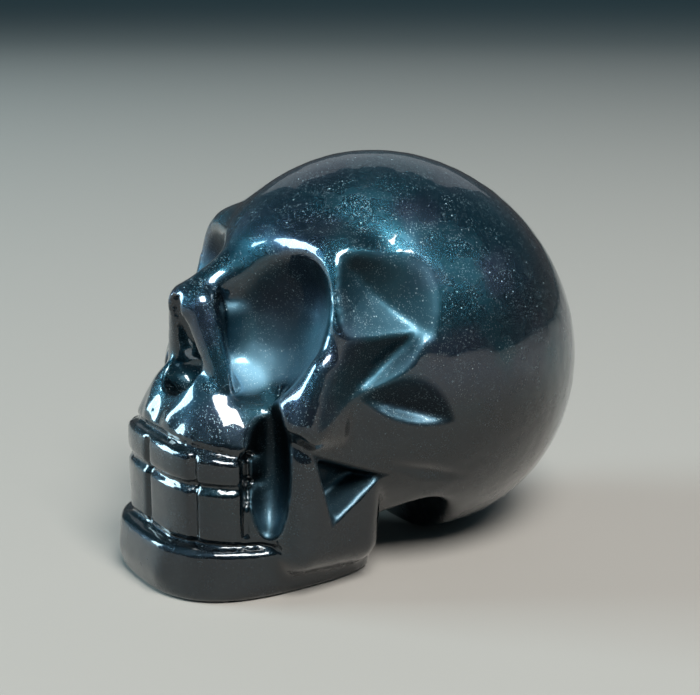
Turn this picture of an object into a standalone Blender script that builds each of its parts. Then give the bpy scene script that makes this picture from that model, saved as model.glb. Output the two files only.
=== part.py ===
"""A polished skull carved from one piece of hematite, about 51 mm long.

The face looks along -Y, +X is the skull's own left side and +Z is up. The origin lies on the
surface that the skull stands on, under the middle of its length and width.

The model follows the order in which such a stone is carved. A field gives, for any point in
space, the distance in millimetres to the stone's surface, negative inside. Rounded masses are
blended into the rough head, wheel and burr marks are taken away from it, and Blender's volume
nodes turn the field into a mesh. Both sides are alike, so the field reads the distance from the
middle plane in place of X. Lengths are in millimetres and angles in degrees.
"""

import math

import bpy

MILLIMETRE = 0.001
NODE_NAME = "carved_skull"

# Driving dimensions
LENGTH = 51.0
WIDTH = 36.0
HEIGHT = 40.5

# Fineness of the mesh
GRID_STEP = 0.36
GRID_MARGIN = 1.6
FIELD_LIMIT = 3.0
POLISH_STEPS = 3
POLISH_STRENGTH = 0.5
KEPT_SHARE = 0.065

STONE_COLOUR = (0.10, 0.115, 0.125, 1.0)
STONE_ROUGHNESS = 0.12

# How softly two surfaces run into each other
SWEEPING = 5.0
WIDE = 4.4
ROUNDED = 4.0
SOFT = 2.2
CLOSE = 1.2
CRISP = 0.5

# The rough head
CRANIUM = dict(centre=(0, 4.8, 20.2), radii=(WIDTH / 2, 21.8, 19.3), turn=(-42, 0, 0))
BROW = dict(centre=(0, -1.4, 26.4), radii=(13.2, 11.8, 8.6), turn=(-4, 0, 0), power=2.6)
EYE_RIM = dict(centre=(9.1, -8.6, 27.0), radii=(7.1, 5.4, 7.8), turn=(-8, 0, 34))
CHEEKBONE = dict(centre=(11.1, -11.9, 19.8), half=(3.4, 3.4, 4.9), corner=2.1, turn=(-12, 0, 20))
CHEEK_EDGE = dict(start=(11.9, -12.1, 24.8), end=(10.5, -14.2, 18.6), radius=1.7, end_radius=2.4)
NOSE_BRIDGE = dict(start=(0, -10.6, 30.4), end=(0, -18.2, 27.0), radius=3.2, end_radius=2.5)
NOSE_SIDE = dict(start=(1.4, -18.1, 27.2), end=(4.8, -17.6, 20.2), radius=1.9, end_radius=1.1)
NOSE_CORE = dict(centre=(0, -15.6, 23.6), half=(2.3, 3.2, 3.8), corner=1.2)
LIP_RIDGE = dict(start=(4.7, -17.7, 20.2), end=(2.1, -21.4, 16.5), radius=1.2, end_radius=1.3)

# The tooth rows stand on an arch seen from above, and the upper jaw narrows as it rises
TOOTH_ARCH = dict(centre=(0, -12.0, 0), radii=(10.2, 11.6, 10.0), power=3.0)
ARCH_FRONT = -23.5
TOOTH_TOP = 15.0
TOOTH_TOP_FALL = 0.236
TOOTH_FOOT = 4.0
UPPER_JAW_FOOT = 15.4
UPPER_JAW_INSET = 0.7
UPPER_JAW_TAPER = 0.5
UPPER_JAW_TOP = 23.0

# The lower jaw
JAW_FOOT = dict(centre=(0, -12.5, 0), radii=(11.0, 12.7, 12.0), power=2.7)
JAW_FOOT_TOP = 5.9
JAW_FOOT_BOTTOM = -0.6
CHIN = dict(centre=(0, -20.6, 2.9), half=(5.6, 4.4, 3.1), corner=2.0, turn=(-14, 0, 0))
JAW_SIDE = dict(centre=(10.0, -9.7, 10.0), half=(3.4, 5.8, 7.9), corner=2.6, turn=(-5, 0, 6))

# Hollows cut with a ball burr
EYE = dict(centre=(8.4, -15.9, 26.9), radii=(6.0, 5.9, 7.6), turn=(6, 22, 37), power=2.3)
EYE_SOFTENS = (29.5, 23.0)
NOSE_HOLE = dict(start=(0, -19.9, 27.3), end=(0, -19.2, 20.9), radius=1.0, end_radius=2.9)
MOUTH_CORNER = dict(centre=(10.8, -16.3, 13.3), radii=(2.0, 3.6, 6.9), turn=(0, 0, 57))
NECK_GAP = dict(centre=(0, 0.9, 0.0), radii=(10.0, 4.8, 7.4))

# Marks cut with the edge of a grinding wheel
WHEEL_TIP = 0.25
TEMPLE_LEAF = dict(
    start=(13.0, -9.8, 33.6), end=(16.6, -1.8, 25.2),
    outward=(0.9, -0.2, 0.3), depth=2.5, edge=24,
)
TEMPLE_GROOVE = dict(
    start=(14.9, -12.6, 17.8), end=(16.4, -1.8, 26.8),
    outward=(0.95, -0.2, 0.1), depth=2.1, edge=40, lean=-14,
)
TEMPLE_LENS = dict(
    start=(14.6, -9.9, 20.3), end=(17.2, 0.2, 16.8),
    outward=(0.97, -0.2, 0), depth=1.5, edge=40, lean=-10,
)
CHEEK_LINE = dict(
    start=(10.6, -16.2, 17.0), end=(14.5, -12.2, 13.8),
    outward=(0.8, -0.6, -0.1), depth=0.4, edge=45,
)
ARCH_LINE = dict(
    start=(13.7, -12.8, 14.2), end=(14.9, 1.5, 10.6),
    outward=(0.95, 0, -0.3), depth=0.6, edge=40,
)

# The three-cornered pocket in the side of the jaw: its corners as Y and Z
POCKET_CORNERS = ((-12.7, 14.3), (-4.8, 11.0), (-10.8, 7.5))
POCKET_FLOOR = 9.8
POCKET_MOUTH = 13.5
POCKET_DRAFT = 0.2

# Grooves between the teeth: height at the front and fall towards the back
ROW_GROOVES = ((5.8, 0.08), (11.6, 0.08), (15.4, 0.236))
ROW_GROOVE_HALF_WIDTH = 0.6
ROW_GROOVE_DEPTH = 0.6
TOOTH_GROOVE_ANGLES = (0, 34, 57)
TOOTH_GROOVE_HALF_WIDTH = 0.6
TOOTH_GROOVE_DEPTH = 0.65
GROOVES_FADE = (-14.5, -17.0)
TEETH_BOTTOM = (5.5, 6.5)
TEETH_TOP = (14.0, 15.0)

# The skull is carved a little lower than its base, and the base is then ground flat
GRINDING_ALLOWANCE = 0.2
BASE_EDGE = 0.8
CUTTER_SIZE = 80.0

tree = None


class Field:
    """A number or a vector that varies through space: one output socket of the carving tree."""

    def __init__(self, socket):
        self.socket = socket

    def __add__(self, other):
        return number("ADD", self, other)

    __radd__ = __add__

    def __sub__(self, other):
        return number("SUBTRACT", self, other)

    def __rsub__(self, other):
        return number("SUBTRACT", other, self)

    def __mul__(self, other):
        return number("MULTIPLY", self, other)

    __rmul__ = __mul__

    def __truediv__(self, other):
        return number("DIVIDE", self, other)

    def __neg__(self):
        return number("MULTIPLY", self, -1.0)

    def __abs__(self):
        return number("ABSOLUTE", self)


def node(kind, inputs, output=0, **settings):
    """Adds one node to the tree, sets it, fills or joins its inputs, and returns an output."""
    made = tree.nodes.new(kind)
    for name, value in settings.items():
        setattr(made, name, value)
    for key, value in inputs.items():
        if isinstance(value, Field):
            tree.links.new(value.socket, made.inputs[key])
        else:
            made.inputs[key].default_value = value
    return Field(made.outputs[output])


def number(operation, *values):
    return node("ShaderNodeMath", dict(enumerate(values)), operation=operation)


def vector(operation, *values):
    return node("ShaderNodeVectorMath", dict(enumerate(values)), operation=operation)


def measure(operation, *values):
    return node("ShaderNodeVectorMath", dict(enumerate(values)), "Value", operation=operation)


def scaled(direction, amount):
    return node("ShaderNodeVectorMath", {0: direction, "Scale": amount}, operation="SCALE")


def along(place, axis):
    return node("ShaderNodeSeparateXYZ", {"Vector": place}, axis)


def rise(value, start, end):
    """0 before start and 1 after end, with a smooth rise between them."""
    limits = {"Value": value, "From Min": start, "From Max": end, "To Min": 0.0, "To Max": 1.0}
    return node("ShaderNodeMapRange", limits, interpolation_type="SMOOTHSTEP")


def turned(place, centre, turn):
    local = vector("SUBTRACT", place, centre)
    angles = [math.radians(angle) for angle in turn]
    if not any(angles):
        return local
    inputs = {"Vector": local, "Rotation": angles}
    return node("ShaderNodeVectorRotate", inputs, rotation_type="EULER_XYZ", invert=True)


def swelling(place, centre, radii, turn=(0, 0, 0), power=2.0):
    """Distance to an ellipsoid, or with a power above 2 to one with fuller corners."""
    local = vector("DIVIDE", vector("ABSOLUTE", turned(place, centre, turn)), radii)
    shares = [along(local, axis) for axis in "XYZ"]
    total = number("MAXIMUM", sum(number("POWER", share, power) for share in shares), 1e-6)
    slopes = [number("POWER", share, power - 1.0) / radius for share, radius in zip(shares, radii)]
    steepness = number("SQRT", sum(slope * slope for slope in slopes))
    steepness = steepness / number("POWER", total, 1.0 - 1.0 / power)
    return (number("POWER", total, 1.0 / power) - 1.0) / number("MAXIMUM", steepness, 1e-3)


def block(place, centre, half, corner, turn=(0, 0, 0)):
    """Distance to a box of the given half sizes with rounded corners."""
    local = vector("ABSOLUTE", turned(place, centre, turn))
    beyond = vector("SUBTRACT", local, [size - corner for size in half])
    outside = measure("LENGTH", vector("MAXIMUM", beyond, (0, 0, 0)))
    deepest = number("MAXIMUM", along(beyond, "X"), along(beyond, "Y"))
    deepest = number("MAXIMUM", deepest, along(beyond, "Z"))
    return outside + number("MINIMUM", deepest, 0.0) - corner


def bar(place, start, end, radius, end_radius):
    """Distance to a round bar from start to end whose radius changes evenly."""
    course = [b - a for a, b in zip(start, end)]
    local = vector("SUBTRACT", place, start)
    share = measure("DOT_PRODUCT", local, course) / sum(c * c for c in course)
    share = node("ShaderNodeClamp", {"Value": share, "Min": 0.0, "Max": 1.0})
    away = measure("LENGTH", vector("SUBTRACT", local, scaled(course, share)))
    return away - radius - share * (end_radius - radius)


def unit(a):
    size = math.sqrt(sum(v * v for v in a))
    return [v / size for v in a]


def cross(a, b):
    return [a[1] * b[2] - a[2] * b[1], a[2] * b[0] - a[0] * b[2], a[0] * b[1] - a[1] * b[0]]


def wheel(place, start, end, outward, depth, edge, lean=0.0):
    """Distance to the V edge of a grinding wheel that cuts from start to end.

    outward points away from the stone, and the wheel reaches depth below the straight line
    from start to end. edge is the angle of each side of the V from the wheel's plane, and lean
    tips that plane over, sideways to the cut.
    """
    chord = unit([b - a for a, b in zip(start, end)])
    half = math.dist(start, end) / 2
    side = unit(cross(chord, outward))
    upright = cross(side, chord)
    tip = math.radians(lean)
    spoke = [u * math.cos(tip) + s * math.sin(tip) for u, s in zip(upright, side)]
    axle = cross(chord, spoke)
    radius = (half * half + depth * depth) / (2 * depth)
    hub = [(a + b) / 2 + s * (radius - depth) for a, b, s in zip(start, end, spoke)]
    local = vector("SUBTRACT", place, hub)
    off = measure("DOT_PRODUCT", local, axle)
    out = measure("LENGTH", vector("SUBTRACT", local, scaled(axle, off)))
    off = number("SQRT", off * off + WHEEL_TIP * WHEEL_TIP)
    slope = math.radians(edge)
    return (out - radius) * math.cos(slope) + off * math.sin(slope)


def join(a, b, blend):
    return number("SMOOTH_MIN", a, b, blend)


def overlap(a, b, blend):
    return number("SMOOTH_MAX", a, b, blend)


def cut(stone, tool, blend):
    return overlap(stone, -tool, blend)


def engrave(stone, distance, half_width, depth):
    """Sinks a rounded groove into the stone wherever distance is less than half_width."""
    return stone + depth * (1.0 - rise(distance, 0.0, half_width))


def from_above(place):
    return vector("MULTIPLY", place, (1, 1, 0))


def from_the_side(place):
    return vector("MULTIPLY", place, (0, 1, 1))


def rough_head(place):
    stone = swelling(place, **CRANIUM)
    stone = join(stone, swelling(place, **BROW), SWEEPING)
    stone = join(stone, swelling(place, **EYE_RIM), SOFT)
    stone = join(stone, block(place, **CHEEKBONE), SOFT)
    stone = join(stone, bar(place, **CHEEK_EDGE), CLOSE)
    stone = join(stone, bar(place, **NOSE_BRIDGE), SOFT)
    return join(stone, bar(place, **LIP_RIDGE), CLOSE)


def upper_jaw(place):
    z = along(place, "Z")
    taper = UPPER_JAW_INSET + UPPER_JAW_TAPER * (z - UPPER_JAW_FOOT)
    walls = swelling(from_above(place), **TOOTH_ARCH) + number("MAXIMUM", taper, 0.0)
    return overlap(walls, z - UPPER_JAW_TOP, SOFT)


def tooth_rows(place):
    y, z = along(place, "Y"), along(place, "Z")
    top = z + TOOTH_TOP_FALL * (y - ARCH_FRONT) - TOOTH_TOP
    ends = overlap(top, TOOTH_FOOT - z, CRISP)
    return overlap(swelling(from_above(place), **TOOTH_ARCH), ends, CLOSE)


def jaw_foot(place):
    z = along(place, "Z")
    ends = overlap(z - JAW_FOOT_TOP, JAW_FOOT_BOTTOM - z, CRISP)
    return overlap(swelling(from_above(place), **JAW_FOOT), ends, SOFT)


def lower_jaw(place):
    stone = join(tooth_rows(place), jaw_foot(place), CRISP)
    stone = join(stone, block(place, **CHIN), CLOSE)
    return join(stone, block(place, **JAW_SIDE), SOFT)


def jaw_pocket(place):
    x, y, z = along(place, "X"), along(place, "Y"), along(place, "Z")
    walls = POCKET_FLOOR - x
    for (y0, z0), (y1, z1) in zip(POCKET_CORNERS, POCKET_CORNERS[1:] + POCKET_CORNERS[:1]):
        size = math.hypot(y1 - y0, z1 - z0)
        wall = (y - y0) * ((z0 - z1) / size) + (z - z0) * ((y1 - y0) / size)
        walls = overlap(walls, wall + (POCKET_MOUTH - x) * POCKET_DRAFT, CRISP)
    return walls


def hollowed(stone, place):
    softness = ROUNDED + (WIDE - ROUNDED) * (1.0 - rise(along(place, "Z"), *reversed(EYE_SOFTENS)))
    stone = cut(stone, swelling(place, **EYE), softness)
    stone = join(stone, block(place, **NOSE_CORE), CLOSE)
    stone = join(stone, bar(place, **NOSE_SIDE), CLOSE)
    stone = cut(stone, bar(place, **NOSE_HOLE), CRISP)
    stone = cut(stone, swelling(place, **MOUTH_CORNER), CRISP)
    stone = cut(stone, swelling(from_the_side(place), **NECK_GAP), CLOSE)
    return cut(stone, jaw_pocket(place), CRISP)


def ground_with_the_wheel(stone, place):
    stone = cut(stone, wheel(place, **TEMPLE_LEAF), CLOSE)
    for mark in (TEMPLE_GROOVE, TEMPLE_LENS, CHEEK_LINE, ARCH_LINE):
        stone = cut(stone, wheel(place, **mark), CRISP)
    return stone


def toothed(stone, place):
    x, y, z = along(place, "X"), along(place, "Y"), along(place, "Z")
    front = rise(y, *reversed(GROOVES_FADE))
    depth = ROW_GROOVE_DEPTH * (1.0 - front)
    for height, fall in ROW_GROOVES:
        distance = abs(z + fall * (y - ARCH_FRONT) - height)
        stone = engrave(stone, distance, ROW_GROOVE_HALF_WIDTH, depth)
    rows = rise(z, *TEETH_BOTTOM) * (1.0 - rise(z, *TEETH_TOP)) * (1.0 - front)
    for angle in TOOTH_GROOVE_ANGLES:
        turn = math.radians(angle)
        distance = abs(x * math.cos(turn) + (y - TOOTH_ARCH["centre"][1]) * math.sin(turn))
        stone = engrave(stone, distance, TOOTH_GROOVE_HALF_WIDTH, TOOTH_GROOVE_DEPTH * rows)
    return stone


def carved_stone(place):
    stone = join(rough_head(place), upper_jaw(place), CLOSE)
    stone = join(stone, lower_jaw(place), CLOSE)
    stone = hollowed(stone, place)
    stone = ground_with_the_wheel(stone, place)
    stone = toothed(stone, place)
    return overlap(stone, -GRINDING_ALLOWANCE - along(place, "Z"), BASE_EDGE)


def mirrored_place():
    place = scaled(node("GeometryNodeInputPosition", {}), 1.0 / MILLIMETRE)
    ends = {"X": abs(along(place, "X")), "Y": along(place, "Y"), "Z": along(place, "Z")}
    return node("ShaderNodeCombineXYZ", ends)


def meshed(stone, material):
    low = (-WIDTH / 2 - GRID_MARGIN, -LENGTH / 2 - GRID_MARGIN, -GRID_MARGIN)
    high = (WIDTH / 2 + GRID_MARGIN, LENGTH / 2 + GRID_MARGIN, HEIGHT + GRID_MARGIN)
    grid = {
        "Density": node("ShaderNodeClamp", {"Value": -stone, "Min": -FIELD_LIMIT, "Max": FIELD_LIMIT}),
        "Background": -FIELD_LIMIT,
        "Min": [end * MILLIMETRE for end in low],
        "Max": [end * MILLIMETRE for end in high],
    }
    for axis, bottom, top in zip("XYZ", low, high):
        grid["Resolution " + axis] = round((top - bottom) / GRID_STEP)
    volume = node("GeometryNodeVolumeCube", grid)
    mesh = node("GeometryNodeVolumeToMesh", {"Volume": volume, "Threshold": 0.0}, resolution_mode="GRID")
    mesh = node("GeometryNodeSetShadeSmooth", {"Geometry": mesh, "Shade Smooth": True})
    return node("GeometryNodeSetMaterial", {"Geometry": mesh, "Material": material})


def carving_tree(material):
    global tree
    tree = bpy.data.node_groups.new("Carving", "GeometryNodeTree")
    tree.interface.new_socket("Geometry", in_out="OUTPUT", socket_type="NodeSocketGeometry")
    mesh = meshed(carved_stone(mirrored_place()), material)
    tree.links.new(mesh.socket, tree.nodes.new("NodeGroupOutput").inputs[0])
    return tree


def hematite():
    material = bpy.data.materials.new("Hematite")
    material.use_nodes = True
    shader = material.node_tree.nodes["Principled BSDF"]
    shader.inputs["Base Color"].default_value = STONE_COLOUR
    shader.inputs["Metallic"].default_value = 1.0
    shader.inputs["Roughness"].default_value = STONE_ROUGHNESS
    return material


def base_cutter():
    """A block whose top face is the surface that the skull stands on."""
    bpy.ops.mesh.primitive_cube_add(size=CUTTER_SIZE * MILLIMETRE)
    cutter = bpy.context.active_object
    cutter.name = "base_cutter"
    cutter.location.z = -CUTTER_SIZE * MILLIMETRE / 2
    cutter.hide_render = True
    cutter.display_type = "WIRE"
    return cutter


def carved_skull():
    material = hematite()
    skull = bpy.data.objects.new(NODE_NAME, bpy.data.meshes.new(NODE_NAME))
    bpy.context.scene.collection.objects.link(skull)
    skull.data.materials.append(material)
    carving = skull.modifiers.new("Carving", "NODES")
    carving.node_group = carving_tree(material)
    polish = skull.modifiers.new("Polish", "SMOOTH")
    polish.factor = POLISH_STRENGTH
    polish.iterations = POLISH_STEPS
    thinning = skull.modifiers.new("Thinning", "DECIMATE")
    thinning.ratio = KEPT_SHARE
    grinding = skull.modifiers.new("Flat base", "BOOLEAN")
    grinding.operation = "DIFFERENCE"
    grinding.solver = "EXACT"
    grinding.object = base_cutter()
    return skull


def clear_scene():
    for old in list(bpy.data.objects):
        bpy.data.objects.remove(old)


clear_scene()
carved_skull()
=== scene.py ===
# %% [markdown]
# # A skull carved from hematite
#
# The real thing is one lump of hematite, an iron ore that takes a mirror polish like dark steel.
# It has been ground into a skull about two inches long and then polished. This lesson carves the
# same skull in Blender, gives it the polish, and lights it as a small studio would.
#
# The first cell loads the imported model, which fixes the size and the place. It is hidden later,
# because the stone made here stands for it.

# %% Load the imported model
import math

import bpy
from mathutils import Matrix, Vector


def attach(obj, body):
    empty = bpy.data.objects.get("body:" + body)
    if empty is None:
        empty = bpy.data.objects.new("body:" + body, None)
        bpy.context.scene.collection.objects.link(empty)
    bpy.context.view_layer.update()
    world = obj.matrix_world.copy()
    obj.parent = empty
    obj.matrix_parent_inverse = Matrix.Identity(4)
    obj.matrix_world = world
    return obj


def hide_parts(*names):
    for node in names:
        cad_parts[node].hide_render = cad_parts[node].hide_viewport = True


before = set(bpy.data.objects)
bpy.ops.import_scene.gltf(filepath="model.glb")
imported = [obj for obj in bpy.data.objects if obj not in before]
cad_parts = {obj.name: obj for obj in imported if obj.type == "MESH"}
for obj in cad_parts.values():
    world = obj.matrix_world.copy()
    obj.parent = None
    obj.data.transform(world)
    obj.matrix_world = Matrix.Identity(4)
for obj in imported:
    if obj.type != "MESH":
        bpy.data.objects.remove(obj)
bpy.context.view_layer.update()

# %% [markdown]
# ## Writing maths as Python
#
# Both the shape and the finish are sums of simple functions of place. Blender keeps such maths in
# node trees, which are slow to read. The class below wraps one output socket and overloads the
# operators, so that 1 - mask or a * b + c adds the Math nodes by itself. One helper adds every
# other node: its settings come first, because they can change which sockets it has.

# %% A socket that takes part in sums
MILLIMETRE = 0.001
tree = None


class Signal:
    """One output socket of the tree that is being built."""

    def __init__(self, socket):
        self.socket = socket

    def __add__(self, other):
        return number("ADD", self, other)

    __radd__ = __add__

    def __sub__(self, other):
        return number("SUBTRACT", self, other)

    def __rsub__(self, other):
        return number("SUBTRACT", other, self)

    def __mul__(self, other):
        return number("MULTIPLY", self, other)

    __rmul__ = __mul__

    def __truediv__(self, other):
        return number("DIVIDE", self, other)

    def __rtruediv__(self, other):
        return number("DIVIDE", other, self)

    def __neg__(self):
        return number("MULTIPLY", self, -1.0)

    def __abs__(self):
        return number("ABSOLUTE", self)


def node(kind, inputs, output=0, **settings):
    """Adds a node, sets it, fills or joins its inputs, and returns one of its outputs."""
    made = tree.nodes.new(kind)
    for name, value in settings.items():
        setattr(made, name, value)
    for key, value in inputs.items():
        if isinstance(value, Signal):
            tree.links.new(value.socket, made.inputs[key])
        else:
            made.inputs[key].default_value = value
    return Signal(made.outputs[output])


def number(operation, *values):
    return node("ShaderNodeMath", dict(enumerate(values)), operation=operation)


def vector(operation, *values):
    return node("ShaderNodeVectorMath", dict(enumerate(values)), operation=operation)


def measure(operation, *values):
    return node("ShaderNodeVectorMath", dict(enumerate(values)), "Value", operation=operation)


def scaled(direction, amount):
    return node("ShaderNodeVectorMath", {0: direction, "Scale": amount}, operation="SCALE")


def along(place, axis):
    return node("ShaderNodeSeparateXYZ", {"Vector": place}, axis)


def rise(value, start, end):
    """0 before start and 1 after end, with a smooth rise between them."""
    limits = {"Value": value, "From Min": start, "From Max": end, "To Min": 0.0, "To Max": 1.0}
    return node("ShaderNodeMapRange", limits, interpolation_type="SMOOTHSTEP")


print("maths ready")

# %% [markdown]
# ## Shapes as distances
#
# A carver thinks of lumps to leave and of cuts to make. Polygons are poor at that, since every
# cut needs new edges. A distance field is good at it: a function that gives, for any point, how
# far the surface is, negative inside the stone. The smaller of two distances joins two lumps and
# the larger one cuts, and the smooth versions of both leave the rounded edge that polishing
# gives. All lengths from here are in millimetres.

# %% Lumps: a swelling, a block and a bar
# The least sizes that a division is allowed, so that the middle of a swelling gives no error
LEAST_TOTAL = 1e-6
LEAST_STEEPNESS = 1e-3


def turned(place, centre, turn):
    local = vector("SUBTRACT", place, centre)
    angles = [math.radians(angle) for angle in turn]
    if not any(angles):
        return local
    inputs = {"Vector": local, "Rotation": angles}
    return node("ShaderNodeVectorRotate", inputs, rotation_type="EULER_XYZ", invert=True)


def swelling(place, centre, radii, turn=(0, 0, 0), power=2.0):
    """Distance to an ellipsoid, or with a power above 2 to one with fuller corners."""
    local = vector("DIVIDE", vector("ABSOLUTE", turned(place, centre, turn)), radii)
    shares = [along(local, axis) for axis in "XYZ"]
    total = number("MAXIMUM", sum(number("POWER", share, power) for share in shares), LEAST_TOTAL)
    slopes = [number("POWER", share, power - 1.0) / radius for share, radius in zip(shares, radii)]
    steepness = number("SQRT", sum(slope * slope for slope in slopes))
    steepness = steepness / number("POWER", total, 1.0 - 1.0 / power)
    return (number("POWER", total, 1.0 / power) - 1.0) / number("MAXIMUM", steepness, LEAST_STEEPNESS)


def block(place, centre, half, corner, turn=(0, 0, 0)):
    """Distance to a box of the given half sizes with rounded corners."""
    local = vector("ABSOLUTE", turned(place, centre, turn))
    beyond = vector("SUBTRACT", local, [size - corner for size in half])
    outside = measure("LENGTH", vector("MAXIMUM", beyond, (0, 0, 0)))
    deepest = number("MAXIMUM", along(beyond, "X"), along(beyond, "Y"))
    deepest = number("MAXIMUM", deepest, along(beyond, "Z"))
    return outside + number("MINIMUM", deepest, 0.0) - corner


def bar(place, start, end, radius, end_radius):
    """Distance to a round bar from start to end whose radius changes evenly."""
    course = [b - a for a, b in zip(start, end)]
    local = vector("SUBTRACT", place, start)
    share = measure("DOT_PRODUCT", local, course) / sum(c * c for c in course)
    share = node("ShaderNodeClamp", {"Value": share, "Min": 0.0, "Max": 1.0})
    away = measure("LENGTH", vector("SUBTRACT", local, scaled(course, share)))
    return away - radius - share * (end_radius - radius)


print("lumps ready")

# %% [markdown]
# ## The wheel
#
# The marks on the temple are straight-sided and pointed at both ends, as leaves are. That is what
# the edge of a grinding wheel leaves when it dips into a rounded surface, so the cutter is a
# wheel with a V edge. Only the ends of the cut, its depth and the angle of the V have to be given.

# %% Cuts: the V edge of a wheel, blends and grooves
# How softly two surfaces run into each other
SWEEPING = 5.0
WIDE = 4.4
ROUNDED = 4.0
SOFT = 2.2
CLOSE = 1.2
CRISP = 0.5
WHEEL_TIP = 0.25


def unit(a):
    size = math.sqrt(sum(v * v for v in a))
    return [v / size for v in a]


def cross(a, b):
    return [a[1] * b[2] - a[2] * b[1], a[2] * b[0] - a[0] * b[2], a[0] * b[1] - a[1] * b[0]]


def wheel(place, start, end, outward, depth, edge, lean=0.0):
    """Distance to the V edge of a grinding wheel that cuts from start to end.

    outward points away from the stone, and the wheel reaches depth below the straight line
    from start to end. edge is the angle of each side of the V from the wheel's plane, and lean
    tips that plane over, sideways to the cut.
    """
    chord = unit([b - a for a, b in zip(start, end)])
    half = math.dist(start, end) / 2
    side = unit(cross(chord, outward))
    upright = cross(side, chord)
    tip = math.radians(lean)
    spoke = [u * math.cos(tip) + s * math.sin(tip) for u, s in zip(upright, side)]
    axle = cross(chord, spoke)
    radius = (half * half + depth * depth) / (2 * depth)
    hub = [(a + b) / 2 + s * (radius - depth) for a, b, s in zip(start, end, spoke)]
    local = vector("SUBTRACT", place, hub)
    off = measure("DOT_PRODUCT", local, axle)
    out = measure("LENGTH", vector("SUBTRACT", local, scaled(axle, off)))
    off = number("SQRT", off * off + WHEEL_TIP * WHEEL_TIP)
    slope = math.radians(edge)
    return (out - radius) * math.cos(slope) + off * math.sin(slope)


def join(a, b, blend):
    return number("SMOOTH_MIN", a, b, blend)


def overlap(a, b, blend):
    return number("SMOOTH_MAX", a, b, blend)


def cut(stone, tool, blend):
    return overlap(stone, -tool, blend)


def engrave(stone, distance, half_width, depth):
    """Sinks a rounded groove into the stone wherever distance is less than half_width."""
    return stone + depth * (1.0 - rise(distance, 0.0, half_width))


print("cuts ready")

# %% [markdown]
# ## The rough head
#
# The head is a tilted egg for the brain case, with swellings for the brow, the eye rims and the
# cheekbones, and round bars for the bridge of the nose, its sides and the two ridges that run down
# to the teeth. The radii and places were found by laying the outline over the photograph's.

# %% Sizes of the head
WIDTH = 36.0
LENGTH = 51.0
HEIGHT = 40.5
CRANIUM = dict(centre=(0, 4.8, 20.2), radii=(WIDTH / 2, 21.8, 19.3), turn=(-42, 0, 0))
BROW = dict(centre=(0, -1.4, 26.4), radii=(13.2, 11.8, 8.6), turn=(-4, 0, 0), power=2.6)
EYE_RIM = dict(centre=(9.1, -8.6, 27.0), radii=(7.1, 5.4, 7.8), turn=(-8, 0, 34))
CHEEKBONE = dict(centre=(11.1, -11.9, 19.8), half=(3.4, 3.4, 4.9), corner=2.1, turn=(-12, 0, 20))
CHEEK_EDGE = dict(start=(11.9, -12.1, 24.8), end=(10.5, -14.2, 18.6), radius=1.7, end_radius=2.4)
NOSE_BRIDGE = dict(start=(0, -10.6, 30.4), end=(0, -18.2, 27.0), radius=3.2, end_radius=2.5)
NOSE_SIDE = dict(start=(1.4, -18.1, 27.2), end=(4.8, -17.6, 20.2), radius=1.9, end_radius=1.1)
NOSE_CORE = dict(centre=(0, -15.6, 23.6), half=(2.3, 3.2, 3.8), corner=1.2)
LIP_RIDGE = dict(start=(4.7, -17.7, 20.2), end=(2.1, -21.4, 16.5), radius=1.2, end_radius=1.3)

# The tooth rows stand on an arch seen from above, and the upper jaw narrows as it rises
TOOTH_ARCH = dict(centre=(0, -12.0, 0), radii=(10.2, 11.6, 10.0), power=3.0)
ARCH_FRONT = -23.5
TOOTH_TOP = 15.0
TOOTH_TOP_FALL = 0.236
TOOTH_FOOT = 4.0
UPPER_JAW_FOOT = 15.4
UPPER_JAW_INSET = 0.7
UPPER_JAW_TAPER = 0.5
UPPER_JAW_TOP = 23.0

# The lower jaw
JAW_FOOT = dict(centre=(0, -12.5, 0), radii=(11.0, 12.7, 12.0), power=2.7)
JAW_FOOT_TOP = 5.9
JAW_FOOT_BOTTOM = -0.6
CHIN = dict(centre=(0, -20.6, 2.9), half=(5.6, 4.4, 3.1), corner=2.0, turn=(-14, 0, 0))
JAW_SIDE = dict(centre=(10.0, -9.7, 10.0), half=(3.4, 5.8, 7.9), corner=2.6, turn=(-5, 0, 6))
print("skull:", WIDTH, "mm wide,", LENGTH, "mm long and", HEIGHT, "mm high")


# %% Leave the lumps that make the head and the jaw
def from_above(place):
    return vector("MULTIPLY", place, (1, 1, 0))


def from_the_side(place):
    return vector("MULTIPLY", place, (0, 1, 1))


def rough_head(place):
    stone = swelling(place, **CRANIUM)
    stone = join(stone, swelling(place, **BROW), SWEEPING)
    stone = join(stone, swelling(place, **EYE_RIM), SOFT)
    stone = join(stone, block(place, **CHEEKBONE), SOFT)
    stone = join(stone, bar(place, **CHEEK_EDGE), CLOSE)
    stone = join(stone, bar(place, **NOSE_BRIDGE), SOFT)
    return join(stone, bar(place, **LIP_RIDGE), CLOSE)


def upper_jaw(place):
    z = along(place, "Z")
    taper = UPPER_JAW_INSET + UPPER_JAW_TAPER * (z - UPPER_JAW_FOOT)
    walls = swelling(from_above(place), **TOOTH_ARCH) + number("MAXIMUM", taper, 0.0)
    return overlap(walls, z - UPPER_JAW_TOP, SOFT)


def tooth_rows(place):
    y, z = along(place, "Y"), along(place, "Z")
    top = z + TOOTH_TOP_FALL * (y - ARCH_FRONT) - TOOTH_TOP
    ends = overlap(top, TOOTH_FOOT - z, CRISP)
    return overlap(swelling(from_above(place), **TOOTH_ARCH), ends, CLOSE)


def jaw_foot(place):
    z = along(place, "Z")
    ends = overlap(z - JAW_FOOT_TOP, JAW_FOOT_BOTTOM - z, CRISP)
    return overlap(swelling(from_above(place), **JAW_FOOT), ends, SOFT)


def lower_jaw(place):
    stone = join(tooth_rows(place), jaw_foot(place), CRISP)
    stone = join(stone, block(place, **CHIN), CLOSE)
    return join(stone, block(place, **JAW_SIDE), SOFT)


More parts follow.
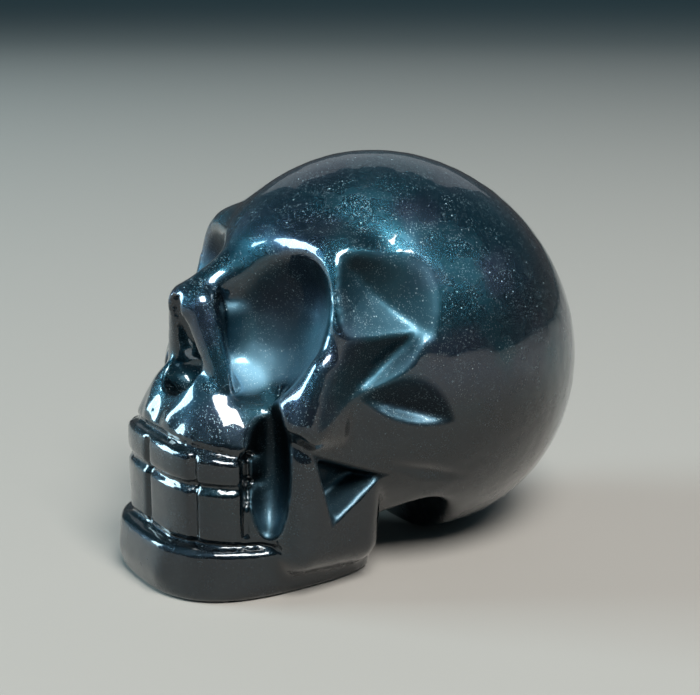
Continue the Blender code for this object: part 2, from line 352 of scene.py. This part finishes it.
print("head and jaw described")

# %% [markdown]
# ## Hollows and wheel marks
#
# A ball burr sinks the eyes, the nose opening, the corners of the mouth and the gap behind the
# jaw. The wheel then cuts the temples, the cheek and the line over the jaw, and the three-cornered
# pocket is chopped out with three flat cuts.

# %% Sizes of the cuts
EYE = dict(centre=(8.4, -15.9, 26.9), radii=(6.0, 5.9, 7.6), turn=(6, 22, 37), power=2.3)
EYE_SOFTENS = (29.5, 23.0)
NOSE_HOLE = dict(start=(0, -19.9, 27.3), end=(0, -19.2, 20.9), radius=1.0, end_radius=2.9)
MOUTH_CORNER = dict(centre=(10.8, -16.3, 13.3), radii=(2.0, 3.6, 6.9), turn=(0, 0, 57))
NECK_GAP = dict(centre=(0, 0.9, 0.0), radii=(10.0, 4.8, 7.4))

TEMPLE_LEAF = dict(
    start=(13.0, -9.8, 33.6), end=(16.6, -1.8, 25.2),
    outward=(0.9, -0.2, 0.3), depth=2.5, edge=24,
)
TEMPLE_GROOVE = dict(
    start=(14.9, -12.6, 17.8), end=(16.4, -1.8, 26.8),
    outward=(0.95, -0.2, 0.1), depth=2.1, edge=40, lean=-14,
)
TEMPLE_LENS = dict(
    start=(14.6, -9.9, 20.3), end=(17.2, 0.2, 16.8),
    outward=(0.97, -0.2, 0), depth=1.5, edge=40, lean=-10,
)
CHEEK_LINE = dict(
    start=(10.6, -16.2, 17.0), end=(14.5, -12.2, 13.8),
    outward=(0.8, -0.6, -0.1), depth=0.4, edge=45,
)
ARCH_LINE = dict(
    start=(13.7, -12.8, 14.2), end=(14.9, 1.5, 10.6),
    outward=(0.95, 0, -0.3), depth=0.6, edge=40,
)

# The three-cornered pocket in the side of the jaw: its corners as Y and Z
POCKET_CORNERS = ((-12.7, 14.3), (-4.8, 11.0), (-10.8, 7.5))
POCKET_FLOOR = 9.8
POCKET_MOUTH = 13.5
POCKET_DRAFT = 0.2

# Grooves between the teeth: height at the front and fall towards the back
ROW_GROOVES = ((5.8, 0.08), (11.6, 0.08), (15.4, 0.236))
ROW_GROOVE_HALF_WIDTH = 0.6
ROW_GROOVE_DEPTH = 0.6
TOOTH_GROOVE_ANGLES = (0, 34, 57)
TOOTH_GROOVE_HALF_WIDTH = 0.6
TOOTH_GROOVE_DEPTH = 0.65
GROOVES_FADE = (-14.5, -17.0)
TEETH_BOTTOM = (5.5, 6.5)
TEETH_TOP = (14.0, 15.0)
for mark in (TEMPLE_LEAF, TEMPLE_GROOVE, TEMPLE_LENS):
    length = math.dist(mark["start"], mark["end"])
    print("wheel cut:", round(length, 1), "mm long,", mark["depth"], "mm deep")


# %% Take the cuts out of the stone
def jaw_pocket(place):
    x, y, z = along(place, "X"), along(place, "Y"), along(place, "Z")
    walls = POCKET_FLOOR - x
    for (y0, z0), (y1, z1) in zip(POCKET_CORNERS, POCKET_CORNERS[1:] + POCKET_CORNERS[:1]):
        size = math.hypot(y1 - y0, z1 - z0)
        wall = (y - y0) * ((z0 - z1) / size) + (z - z0) * ((y1 - y0) / size)
        walls = overlap(walls, wall + (POCKET_MOUTH - x) * POCKET_DRAFT, CRISP)
    return walls


def hollowed(stone, place):
    softness = ROUNDED + (WIDE - ROUNDED) * (1.0 - rise(along(place, "Z"), *reversed(EYE_SOFTENS)))
    stone = cut(stone, swelling(place, **EYE), softness)
    stone = join(stone, block(place, **NOSE_CORE), CLOSE)
    stone = join(stone, bar(place, **NOSE_SIDE), CLOSE)
    stone = cut(stone, bar(place, **NOSE_HOLE), CRISP)
    stone = cut(stone, swelling(place, **MOUTH_CORNER), CRISP)
    stone = cut(stone, swelling(from_the_side(place), **NECK_GAP), CLOSE)
    return cut(stone, jaw_pocket(place), CRISP)


def ground_with_the_wheel(stone, place):
    stone = cut(stone, wheel(place, **TEMPLE_LEAF), CLOSE)
    for mark in (TEMPLE_GROOVE, TEMPLE_LENS, CHEEK_LINE, ARCH_LINE):
        stone = cut(stone, wheel(place, **mark), CRISP)
    return stone


def toothed(stone, place, row_depth, tooth_depth):
    x, y, z = along(place, "X"), along(place, "Y"), along(place, "Z")
    front = rise(y, *reversed(GROOVES_FADE))
    depth = row_depth * (1.0 - front)
    for height, fall in ROW_GROOVES:
        distance = abs(z + fall * (y - ARCH_FRONT) - height)
        stone = engrave(stone, distance, ROW_GROOVE_HALF_WIDTH, depth)
    rows = rise(z, *TEETH_BOTTOM) * (1.0 - rise(z, *TEETH_TOP)) * (1.0 - front)
    for angle in TOOTH_GROOVE_ANGLES:
        turn = math.radians(angle)
        distance = abs(x * math.cos(turn) + (y - TOOTH_ARCH["centre"][1]) * math.sin(turn))
        stone = engrave(stone, distance, TOOTH_GROOVE_HALF_WIDTH, tooth_depth * rows)
    return stone


print("cuts described")

# %% [markdown]
# ## From field to mesh
#
# Blender can sample such a field into a volume and wrap a mesh round its zero level. The grid has
# to be fine enough for the grooves, which are about a millimetre wide. Geometry Nodes do all of it
# in one tree, and its inputs are the sizes that are worth playing with. Hand polishing never
# leaves a perfectly even surface, so a slow, very low ripple is added: without it, the
# reflections are too straight.

# %% Inputs of the carving tree
GRID_STEP = 0.315
GRID_MARGIN = 1.6
FIELD_LIMIT = 3.0
BASE_EDGE = 0.8
CARVING_INPUTS = {
    "Grid Step": GRID_STEP,
    "Row Groove Depth": ROW_GROOVE_DEPTH,
    "Tooth Groove Depth": TOOTH_GROOVE_DEPTH,
    "Ripple Height": 0.10,
    "Ripple Size": 7.0,
    "Ripple Seed": 4.0,
}


def declare_inputs(values):
    """Gives the tree a named input for each size, and returns their signals by name."""
    for name, value in values.items():
        socket = tree.interface.new_socket(name, in_out="INPUT", socket_type="NodeSocketFloat")
        socket.default_value = value
    entry = tree.nodes.new("NodeGroupInput")
    return {name: Signal(entry.outputs[name]) for name in values}


# %% Put the whole skull together
def mirrored(place):
    """The same place on the skull's left side, so that both halves are carved alike."""
    ends = {"X": abs(along(place, "X")), "Y": along(place, "Y"), "Z": along(place, "Z")}
    return node("ShaderNodeCombineXYZ", ends)


def ripple(place, size):
    stretched = scaled(place, 1.0 / size["Ripple Size"])
    inputs = {"Vector": stretched, "W": size["Ripple Seed"], "Detail": 1.0}
    wave = node("ShaderNodeTexNoise", inputs, noise_dimensions="4D")
    return (wave - 0.5) * size["Ripple Height"]


def carved_stone(place, folded, size):
    stone = join(rough_head(folded), upper_jaw(folded), CLOSE)
    stone = join(stone, lower_jaw(folded), CLOSE)
    stone = hollowed(stone, folded)
    stone = ground_with_the_wheel(stone, folded)
    stone = toothed(stone, folded, size["Row Groove Depth"], size["Tooth Groove Depth"])
    stone = stone + ripple(place, size)
    return overlap(stone, -along(place, "Z"), BASE_EDGE)


def meshed(stone, step, material):
    low = (-WIDTH / 2 - GRID_MARGIN, -LENGTH / 2 - GRID_MARGIN, -GRID_MARGIN)
    high = (WIDTH / 2 + GRID_MARGIN, LENGTH / 2 + GRID_MARGIN, HEIGHT + GRID_MARGIN)
    density = {"Value": -stone, "Min": -FIELD_LIMIT, "Max": FIELD_LIMIT}
    grid = {
        "Density": node("ShaderNodeClamp", density),
        "Background": -FIELD_LIMIT,
        "Min": [end * MILLIMETRE for end in low],
        "Max": [end * MILLIMETRE for end in high],
    }
    for axis, bottom, top in zip("XYZ", low, high):
        grid["Resolution " + axis] = number("ROUND", (top - bottom) / step)
    volume = node("GeometryNodeVolumeCube", grid)
    surface = {"Volume": volume, "Threshold": 0.0}
    mesh = node("GeometryNodeVolumeToMesh", surface, resolution_mode="GRID")
    mesh = node("GeometryNodeSetShadeSmooth", {"Geometry": mesh, "Shade Smooth": True})
    mesh = node("GeometryNodeRealizeInstances", {"Geometry": mesh})
    return node("GeometryNodeSetMaterial", {"Geometry": mesh, "Material": material})


def carving_tree(material):
    global tree
    tree = bpy.data.node_groups.new("Carving", "GeometryNodeTree")
    size = declare_inputs(CARVING_INPUTS)
    tree.interface.new_socket("Geometry", in_out="OUTPUT", socket_type="NodeSocketGeometry")
    place = scaled(node("GeometryNodeInputPosition", {}), 1.0 / MILLIMETRE)
    mesh = meshed(carved_stone(place, mirrored(place), size), size["Grid Step"], material)
    tree.links.new(mesh.socket, tree.nodes.new("NodeGroupOutput").inputs[0])
    print("carving tree:", len(tree.nodes), "nodes")
    return tree


# %% [markdown]
# ## The finish
#
# Polished hematite is a dark mirror: it reflects about a tenth of the light straight back, and is
# grey with a cold blue cast. Under the mirror lies a haze. Fine scratches and pits scatter the
# light of a window into a soft glow full of tiny sparks, and dust on the upward faces does the
# same. One roughness can't give both, so the surface is a hazy dark metal under a clear coat with
# a high refractive index. The haze and the sparks are thinned on the faces that look down and on
# the jaw: partly less dust there, partly painted shade. The burr and the wheel leave a duller
# surface than the polishing felt, which can't reach into the cuts, so the coat fades there. A
# painted glow lightens the upward faces of the eye socket and, more weakly, of the other cuts, and
# the pits are painted almost black as painted shade. The cuts are found with the same distance
# functions that made them. Constants sit on the shader's own sockets, and only what varies is
# linked.

# %% Mix colours, and lay noise and cells over the stone
def mixed(share, first, second):
    """Mixes two colours, with share going from the first to the second."""
    made = tree.nodes.new("ShaderNodeMix")
    made.data_type = "RGBA"
    for key, value in ((0, share), (6, first), (7, second)):
        if isinstance(value, Signal):
            tree.links.new(value.socket, made.inputs[key])
        else:
            made.inputs[key].default_value = value
    return Signal(made.outputs[2])


def noise(place, scale, detail=2.0, stretch=(1, 1, 1)):
    inputs = {"Vector": vector("MULTIPLY", place, stretch), "Scale": scale, "Detail": detail}
    return node("ShaderNodeTexNoise", inputs)


def cells(place, scale, output):
    return node("ShaderNodeTexVoronoi", {"Vector": place, "Scale": scale}, output)


def at_least(low, share):
    """Squeezes a share from 0 to 1 into one from low to 1."""
    return low + (1.0 - low) * share


print("colour helpers ready")

# %% Haze and sparks
# Ranges of the normal's upward part, and ranges of height in millimetres. They thin the haze and the
# sparks on the faces that look down and on the jaw: partly less dust there, partly painted shade.
LEAST_HAZE = 0.15
HAZE_SLOPES = (-0.3, 0.3)
HAZE_HEIGHTS = (15.5, 22.5)
SPARKS_FACING_DOWN = 0.25
SPARK_SLOPES = (-0.15, 0.45)
SPARKS_ON_THE_JAW = 0.3
SPARK_HEIGHTS = (8.0, 20.0)

# Grains, chosen by the random colour of their cell
FINE_GRAINS_PER_MM = 12.0
FINE_CHOICE = (0.92, 1.07)
FINE_STRENGTH = 0.6
COARSE_GRAINS_PER_MM = 3.6
COARSE_CHOICE = (0.970, 0.985)
COARSE_EDGE = (0.15, 0.35)
CLUMPS_PER_MM = 0.5
CLUMP_DETAIL = 3.0
CLUMP_RANGE = (0.35, 0.70)
CLUMP_WEIGHT = 0.07


def haze_dust_and_painted_shade(upward, height):
    """How much haze there is: least on the jaw and on faces that look down. More haze on the upward
    faces is partly dust, and less haze below is partly painted shade.
    """
    slope = at_least(LEAST_HAZE, rise(upward, *HAZE_SLOPES))
    return slope * at_least(LEAST_HAZE, rise(height, *HAZE_HEIGHTS))


def sparks(place, upward, height):
    """Bright grains: many fine ones and a few coarse ones, thickest on the upward faces. They are
    partly dust, and thinning them on the downward faces and the jaw is painted shade.
    """
    # Fewer sparks facing down and on the jaw: partly less dust, partly painted shade.
    share = at_least(SPARKS_FACING_DOWN, rise(upward, *SPARK_SLOPES))
    share = share * at_least(SPARKS_ON_THE_JAW, rise(height, *SPARK_HEIGHTS))
    clumps = rise(noise(place, CLUMPS_PER_MM, CLUMP_DETAIL), *CLUMP_RANGE)
    fine = along(cells(place, FINE_GRAINS_PER_MM, "Color"), "X")
    coarse = along(cells(place, COARSE_GRAINS_PER_MM, "Color"), "X")
    size = cells(place, COARSE_GRAINS_PER_MM, "Distance")
    many = rise(fine + CLUMP_WEIGHT * clumps, *FINE_CHOICE) * share
    few = rise(coarse, *COARSE_CHOICE) * (1.0 - rise(size, *COARSE_EDGE)) * share
    return number("MAXIMUM", FINE_STRENGTH * many, few)


print("haze and sparks ready")

# %% Scratches and pits
SCRATCH_TURNS = (0.3, 1.4, 2.5)
SCRATCH_TILT = 0.4
SCRATCH_STRETCH = (7.0, 7.0, 0.18)
SCRATCH_WIDTH = 0.012
PIT_SPACING = 5.0
PIT_RADIUS = 0.34
PIT_EDGE = (-0.12, 0.06)
PIT_SIZES = (0.80, 1.0)
PIT_CHOICE = (0.84, 0.86)


def scratches(place):
    """Fine straight lines, where long thin cells of noise are near their middle value."""
    total = 0.0
    for turn in SCRATCH_TURNS:
        lines = {"Vector": place, "Rotation": (turn, SCRATCH_TILT * turn, turn)}
        laid = node("ShaderNodeVectorRotate", lines, rotation_type="EULER_XYZ")
        streak = noise(laid, 1.0, 1.0, SCRATCH_STRETCH)
        total = total + (1.0 - rise(abs(streak - 0.5), 0.0, SCRATCH_WIDTH))
    return total


def pits(place):
    """1 inside a pit and 0 outside. Only a few of the cells have a pit."""
    distance = cells(place, 1.0 / PIT_SPACING, "Distance") * PIT_SPACING
    chance = along(cells(place, 1.0 / PIT_SPACING, "Color"), "Y")
    size = PIT_RADIUS * rise(chance, *PIT_SIZES)
    return (1.0 - rise(distance - size, *PIT_EDGE)) * rise(chance, *PIT_CHOICE)


print("scratches and pits ready")

# %% Find the walls of the cuts
CUT_EDGE = (0.1, 0.45)
NOSE_SKIN = 0.8


def in_bowl(place):
    """1 on the wall of the eye socket, 0 on the polished skin and on the side of the nose."""
    nose = NOSE_SKIN - bar(place, **NOSE_SIDE)
    return 1.0 - rise(number("MAXIMUM", swelling(place, **EYE), nose), *CUT_EDGE)


def in_marks(place):
    """1 on the walls that the wheel and the small burr left, 0 elsewhere."""
    nearest = swelling(place, **MOUTH_CORNER)
    for mark in (TEMPLE_LEAF, TEMPLE_GROOVE, TEMPLE_LENS):
        nearest = number("MINIMUM", nearest, wheel(place, **mark))
    nearest = number("MINIMUM", nearest, jaw_pocket(place))
    return 1.0 - rise(nearest, *CUT_EDGE)


print("walls of the cuts found")

# %% Values of the hematite
HAZE_BLUE = (0.018, 0.074, 0.108, 1.0)
HAZE_VIOLET = (0.034, 0.054, 0.090, 1.0)
HUES_PER_MM = 0.12
HUE_RANGE = (0.42, 0.60)
# The darkest skin, used where the haze mask is low: clean polished stone, and painted shade on the
# downward faces and the jaw.
CLEAN_SKIN_AND_PAINTED_SHADE = (0.006, 0.011, 0.015, 1.0)
# Painted glow: a light blue colour that paints the window's light on the upward faces of the eye
# socket and, weaker, of the other cuts.
PAINTED_GLOW_IN_CUTS = (0.150, 0.300, 0.400, 1.0)
PAINTED_GLOW_IN_MARKS = 0.3
PAINTED_GLOW_SLOPES = (-0.15, 0.60)
SPARK_COLOUR = (0.42, 0.60, 0.68, 1.0)
SPARK_IS_NOT_METAL = 0.85
# Painted shade in the pits: almost black.
PIT_PAINTED_SHADE = (0.004, 0.004, 0.005, 1.0)
HAZE_ROUGHNESS = 0.27
CUT_ROUGHNESS = 0.16
UNEVEN_ROUGHNESS = 0.12
UNEVEN_PER_MM = 0.35
COAT_IOR = 1.60
COAT_ROUGHNESS = 0.035
COAT_IN_CUTS = 0.12

# The relief, in millimetres
GRAINS_PER_MM = 9.0
GRAIN_HEIGHT = 0.005
SCRATCH_DEPTH = 0.004
PIT_DEPTH = 0.12


# %% Build the hematite
def hematite():
    global tree
    material = bpy.data.materials.new("Hematite")
    material.use_nodes = True
    tree = material.node_tree
    shader = tree.nodes["Principled BSDF"]
    shader.inputs["Coat IOR"].default_value = COAT_IOR
    shader.inputs["Coat Roughness"].default_value = COAT_ROUGHNESS
    place = scaled(node("ShaderNodeTexCoord", {}, "Object"), 1.0 / MILLIMETRE)
    upward = along(node("ShaderNodeTexCoord", {}, "Normal"), "Z")
    height = along(place, "Z")
    spark = sparks(place, upward, height)
    folded = mirrored(place)
    bowl, marks = in_bowl(folded), in_marks(folded)
    cut_wall = number("MAXIMUM", bowl, marks)
    hole = pits(place) * (1.0 - cut_wall)
    hue = mixed(rise(noise(place, HUES_PER_MM), *HUE_RANGE), HAZE_BLUE, HAZE_VIOLET)
    # Darker where the haze mask is low: painted shade on the downward faces and the jaw, partly less
    # dust.
    hue = mixed(haze_dust_and_painted_shade(upward, height), CLEAN_SKIN_AND_PAINTED_SHADE, hue)
    # Painted glow on the upward faces of the eye socket and of the other cuts.
    painted_glow = number("MAXIMUM", bowl, PAINTED_GLOW_IN_MARKS * marks) * rise(upward, *PAINTED_GLOW_SLOPES)
    hue = mixed(painted_glow, hue, PAINTED_GLOW_IN_CUTS)
    # The pits are painted almost black, which is painted shade in each pit.
    colour = mixed(hole, mixed(spark, hue, SPARK_COLOUR), PIT_PAINTED_SHADE)
    uneven = UNEVEN_ROUGHNESS * (noise(place, UNEVEN_PER_MM) - 0.5)
    relief = noise(place, GRAINS_PER_MM) * GRAIN_HEIGHT
    relief = relief - scratches(place) * SCRATCH_DEPTH - hole * PIT_DEPTH
    bump = {"Height": relief, "Strength": 1.0, "Distance": MILLIMETRE}
    finish = {
        "Base Color": colour,
        "Metallic": 1.0 - SPARK_IS_NOT_METAL * spark,
        "Roughness": HAZE_ROUGHNESS + CUT_ROUGHNESS * cut_wall + uneven,
        "Coat Weight": 1.0 - (1.0 - COAT_IN_CUTS) * cut_wall,
        "Normal": node("ShaderNodeBump", bump),
    }
    for name, value in finish.items():
        tree.links.new(value.socket, shader.inputs[name])
    print("hematite:", len(tree.nodes), "nodes")
    return material


# %% [markdown]
# ## The stone
#
# A modifier's inputs are set by identifier before Blender first works the tree out. The result is
# then copied to a plain mesh, smoothed a little as the polishing does, and the modifier goes.

# %% Carve it
POLISH_STRENGTH = 0.5
POLISH_STEPS = 4
GROUND_WITHIN = 0.08


def carve(name, material):
    rough = bpy.data.objects.new("carving", bpy.data.meshes.new("carving"))
    bpy.context.scene.collection.objects.link(rough)
    carving = rough.modifiers.new("Carving", "NODES")
    carving.node_group = carving_tree(material)
    for item in carving.node_group.interface.items_tree:
        if item.in_out == "INPUT":
            carving[item.identifier] = CARVING_INPUTS[item.name]
    polish = rough.modifiers.new("Polish", "SMOOTH")
    polish.factor = POLISH_STRENGTH
    polish.iterations = POLISH_STEPS
    shown = rough.evaluated_get(bpy.context.evaluated_depsgraph_get())
    mesh = bpy.data.meshes.new_from_object(shown)
    bpy.data.objects.remove(rough)
    mesh.name = name
    piece = bpy.data.objects.new(name, mesh)
    bpy.context.scene.collection.objects.link(piece)
    return piece


def grind_base(piece):
    """Sets the lowest points exactly on the surface that the skull stands on."""
    for point in piece.data.vertices:
        if point.co.z < GROUND_WITHIN * MILLIMETRE:
            point.co.z = 0.0


stone = carve("polished_skull", hematite())
grind_base(stone)
triangles = sum(len(face.vertices) - 2 for face in stone.data.polygons)
print("stone:", len(stone.data.vertices), "points,", triangles, "triangles")

# %% Fix it to the frame
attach(stone, "root")
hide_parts("carved_skull")
print("the stone rides on root and stands for carved_skull")

# %% [markdown]
# ## The studio
#
# A mirror shows its surroundings, so the room matters more than the stone's own colour. A pale
# floor gives the lower half its warm grey reflection. The room above it is dark and a little
# blue. A tall window in front draws the bright bands on the rims of the eye, the nose and the
# teeth. A smaller, warmer one high at the side draws the bright corner of the brow, and a dim
# wall on the far side gives the top of the head its paler edge.

# %% Lights and floor
FLOOR_SIZE = 12.0
FLOOR_COLOUR = (0.30, 0.287, 0.27, 1.0)
FLOOR_ROUGHNESS = 0.75
FRONT_WINDOW = dict(
    azimuth=-40, elevation=19, distance=1.10,
    size=(0.47, 0.62), power=15.6, colour=(0.66, 0.92, 1.0),
)
SIDE_WINDOW = dict(
    azimuth=80, elevation=56, distance=0.80,
    size=(0.42, 0.38), power=11.5, colour=(1.0, 0.97, 0.92),
)
FAR_WALL = dict(
    azimuth=-125, elevation=32, distance=1.00,
    size=(0.90, 0.50), power=0.4, colour=(0.95, 0.97, 1.0),
)

# The point that the lights and the camera look at, in the middle of the skull
AIM = Vector((0.0, 0.0, 0.019))


def away(azimuth, elevation):
    """The direction from the skull to something. Azimuth 0 is in front of the face."""
    turn, lift = math.radians(azimuth), math.radians(elevation)
    level = math.cos(lift)
    return Vector((math.sin(turn) * level, -math.cos(turn) * level, math.sin(lift)))


def window(name, azimuth, elevation, distance, size, power, colour):
    light = bpy.data.lights.new(name, "AREA")
    light.shape = "RECTANGLE"
    light.size, light.size_y = size
    light.energy = power
    light.color = colour
    holder = bpy.data.objects.new(name, light)
    bpy.context.scene.collection.objects.link(holder)
    back = away(azimuth, elevation)
    holder.location = AIM + distance * back
    holder.rotation_euler = back.to_track_quat("Z", "Y").to_euler()
    return holder


def pale_floor():
    bpy.ops.mesh.primitive_plane_add(size=FLOOR_SIZE)
    floor = bpy.context.active_object
    floor.name = "floor"
    material = bpy.data.materials.new("Floor")
    material.use_nodes = True
    shader = material.node_tree.nodes["Principled BSDF"]
    shader.inputs["Base Color"].default_value = FLOOR_COLOUR
    shader.inputs["Roughness"].default_value = FLOOR_ROUGHNESS
    floor.data.materials.append(material)
    return floor


window("front_window", **FRONT_WINDOW)
window("side_window", **SIDE_WINDOW)
window("far_wall", **FAR_WALL)
pale_floor()
print("lights:", [light.name for light in bpy.data.lights])

# %% A dark room that turns bluish overhead
HORIZON = (0.06, 0.06, 0.062, 1.0)
OVERHEAD = (0.040, 0.095, 0.125, 1.0)
OVERHEAD_FROM = 0.5


def dark_room():
    global tree
    world = bpy.data.worlds.new("Room")
    bpy.context.scene.world = world
    world.use_nodes = True
    tree = world.node_tree
    height = along(node("ShaderNodeTexCoord", {}, "Generated"), "Z")
    colour = mixed(rise(height, 0.0, OVERHEAD_FROM), HORIZON, OVERHEAD)
    tree.links.new(colour.socket, tree.nodes["Background"].inputs["Color"])
    return world


print("room:", dark_room().name)

# %% [markdown]
# ## The camera
#
# The photograph was taken from the skull's front left, a little above it, and close: about three
# skull lengths away. The shift moves the picture the last few pixels without turning the camera.

# %% Camera
CAMERA_AZIMUTH = 57.0
CAMERA_ELEVATION = 15.0
CAMERA_DISTANCE = 0.150
LENS_LENGTH = 73.6
SENSOR_WIDTH = 36.0
PICTURE_SHIFT = (-0.00233, 0.01733)
NEAREST_SEEN = 0.01


def photograph_camera():
    lens = bpy.data.cameras.new("camera")
    lens.lens = LENS_LENGTH
    lens.sensor_width = SENSOR_WIDTH
    lens.shift_x, lens.shift_y = PICTURE_SHIFT
    lens.clip_start = NEAREST_SEEN
    lens.dof.use_dof = False
    camera = bpy.data.objects.new("camera", lens)
    bpy.context.scene.collection.objects.link(camera)
    back = away(CAMERA_AZIMUTH, CAMERA_ELEVATION)
    camera.location = AIM + CAMERA_DISTANCE * back
    camera.rotation_euler = back.to_track_quat("Z", "Y").to_euler()
    return camera


bpy.context.scene.camera = photograph_camera()
bpy.context.scene.view_settings.view_transform = "Standard"
print("camera:", round(1000 * CAMERA_DISTANCE), "mm from the middle of the skull")
